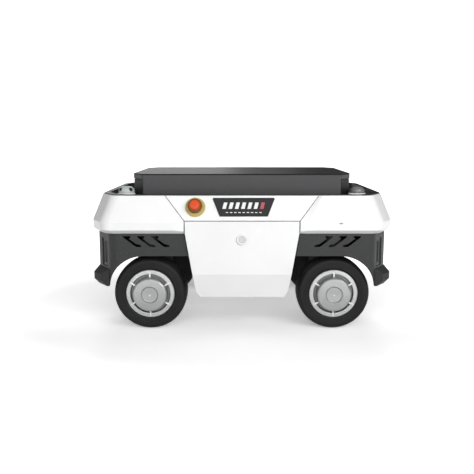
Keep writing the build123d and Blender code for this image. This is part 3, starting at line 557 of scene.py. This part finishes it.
# A block between two thin bars on each corner lamp.
bm = bmesh.new()
for ex in (-1, 1):
    for sy in (-1, 1):
        x, y, z = LAMP_CENTRE
        out = Vector((LAMP_NORMAL[0] * ex, LAMP_NORMAL[1] * sy, 0)).normalized()
        seat = aim(Vector((ex * x, sy * y, z)) - out * 0.0017, out)
        prism(bm, rounded(0.0035, 0.027, 0.003), -0.001, 0.0009, seat)
        for k in (-1, 1):
            prism(bm, rounded(0.001, 0.030, 0.0009), -0.001, 0.0006, seat @ Matrix.Translation((k * 0.0105, 0, 0)))
piece("lamp_bars", bm, LAMP, "base")

# A black sleeve in each of the rear pod's two sockets.
bm = bmesh.new()
pod_low, pod_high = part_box("connector_pod")
pod = Vector(((pod_low.x + pod_high.x) / 2, (pod_low.y + pod_high.y) / 2, POD_SOCKET_Z))
sleeve = [
    (0, 0.0002), (0.0048, 0.0002), (0.0048, 0.0052), (0.0041, 0.0062), (0.0028, 0.0062), (0.0026, 0.0036), (0, 0.0036),
]
for a in (-135.0, -45.0):
    seat = Matrix.Translation(pod) @ Matrix.Rotation(radians(a), 4, "Z") @ Matrix.Translation((0.013, 0, 0))
    turned(bm, sleeve, seat @ Matrix.Rotation(radians(62.0), 4, "Y"))
piece("pod_fittings", bm, BLACK_TRIM, "base")

# A small dark oval plug in the front hood's crease, and its twin on the other side.
bm = bmesh.new()
for sy in (-1, 1):
    seat = aim((-sy * PLUG_X, sy * PLUG_Y, PLUG_Z), (0, sy, 0.05))
    prism(bm, circle(0.0047, 0.0022, 24), -0.0008, 0.0001, seat)
piece("hood_plugs", bm, BLACK_TRIM, "base")


# ---------------------------------------------------------------- stage, light and camera
def stage_object(name, bm, location):
    """Turns a bmesh into a part of the stage."""
    mesh = bpy.data.meshes.new(name)
    bm.to_mesh(mesh)
    bm.free()
    obj = bpy.data.objects.new(name, mesh)
    obj.location = location
    bpy.context.scene.collection.objects.link(obj)
    return obj


# A pale light-table floor: it glows softly, which is painted light, so the shadow under the base stays pale.
bm = bmesh.new()
bmesh.ops.create_circle(bm, cap_ends=True, segments=96, radius=8.6)
floor = stage_object("floor", bm, (0, 0, -0.0002))
n = Nodes("floor_paint")
x, y, _ = n.split(n.coord)
forward = n.times(y, -1.0)
beside = n.ramp(n.math("ABSOLUTE", x), 0.30, 0.36)
between = n.math("SUBTRACT", 1.0, beside)
reach = n.vectors("LENGTH", n.vectors("MULTIPLY", n.coord, (1 / 0.60, 1 / 0.47, 0))["Vector"])["Value"]
# Painted shadow: the glow is shaped by position, dimmer round the base and its wheels and rising to full far out.
glow = n.ramp(forward, 0.0, 0.174, 0.50, 0.30)
glow = n.plus(glow, n.times(between, n.ramp(y, 0.19, 0.26, 0.0, -0.30)))
glow = n.plus(glow, n.times(beside, n.ramp(forward, 0.0, 0.10, -0.02, 0.14)))
glow = n.plus(glow, n.times(beside, n.ramp(forward, 0.12, 0.24, 0.0, -0.06)))
glow = n.plus(glow, n.ramp(forward, 0.19, 0.29, 0.0, -0.10))
glow = n.plus(glow, n.ramp(reach, 1.00, 1.90, 0.0, 0.75))
n.set(Base_Color=(0.93, 0.93, 0.93, 1), Roughness=n.ramp(n.noise(1.5), 0.3, 0.7, 0.85, 0.95), Specular_IOR_Level=0.0)
n.set(Emission_Color=(1, 1, 1, 1), Emission_Strength=glow)
floor.data.materials.append(n.material)
floor.visible_diffuse = False

# A round white backdrop. The camera sees it, but the object's own colours and reflections don't.
bm = bmesh.new()
bmesh.ops.create_cone(bm, segments=96, radius1=8.5, radius2=8.5, depth=9.0)
wall = stage_object("backdrop", bm, (0, 0, 4.4))
n = Nodes("backdrop_paint")
n.set(Base_Color=(0.9, 0.9, 0.9, 1), Roughness=n.ramp(n.noise(1.5), 0.3, 0.7, 0.85, 0.95))
n.set(Emission_Color=(1, 1, 1, 1), Emission_Strength=1.0)
wall.data.materials.append(n.material)
wall.visible_diffuse = False
wall.visible_glossy = False

# A black flag behind on the right, for reflections only, which darkens that end of the top cover.
bm = bmesh.new()
bmesh.ops.create_grid(bm, x_segments=1, y_segments=1, size=1.3, matrix=Matrix.Rotation(pi / 2, 4, "X"))
flag = stage_object("flag", bm, (1.75, 3.3, 1.0))
n = Nodes("flag_cloth")
n.set(Base_Color=(0.005, 0.005, 0.005, 1), Roughness=n.ramp(n.noise(30.0), 0.3, 0.7, 0.85, 0.95))
n.set(Specular_IOR_Level=0.0)
flag.data.materials.append(n.material)
flag.visible_camera = False
flag.visible_diffuse = False
flag.visible_shadow = False

world = bpy.data.worlds.new("studio")
bpy.context.scene.world = world
world.use_nodes = True
world.node_tree.nodes["Background"].inputs["Color"].default_value = (1, 1, 1, 1)
world.node_tree.nodes["Background"].inputs["Strength"].default_value = 0.27


def area(name, position, size_x, size_y, energy):
    """A soft rectangular light, aimed at the middle of the base."""
    light = bpy.data.lights.new(name, "AREA")
    light.energy = energy
    light.shape = "RECTANGLE"
    light.size = size_x
    light.size_y = size_y
    obj = bpy.data.objects.new(name, light)
    obj.location = position
    obj.rotation_euler = (Vector((0, 0, 0.2)) - Vector(position)).to_track_quat("-Z", "Y").to_euler()
    obj.visible_camera = False
    bpy.context.scene.collection.objects.link(obj)


area("key", (-0.16, -3.01, 1.26), 2.6, 1.8, 56.0)
area("right_fill", (1.68, -2.25, 1.28), 1.6, 1.6, 44.0)
area("left_fill", (-2.3, -1.0, 0.9), 1.0, 1.0, 3.0)
area("top", (0.2, 0.1, 3.2), 2.6, 2.6, 5.0)
area("back_left", (-1.0, 3.4, 1.0), 2.0, 1.3, 10.5)

# The camera stands to the right of the base, nearly square to its side, and looks a little down.
camera = bpy.data.cameras.new("camera")
camera.sensor_width = 36.0
camera.lens = 48.38
camera.clip_end = 60.0
view = bpy.data.objects.new("camera", camera)
view.location = (-0.012, -1.750, 0.4754)
view.rotation_euler = (radians(90.0 - 9.01), 0, 0)
bpy.context.scene.collection.objects.link(view)
bpy.context.scene.camera = view
bpy.context.scene.view_settings.view_transform = "Standard"
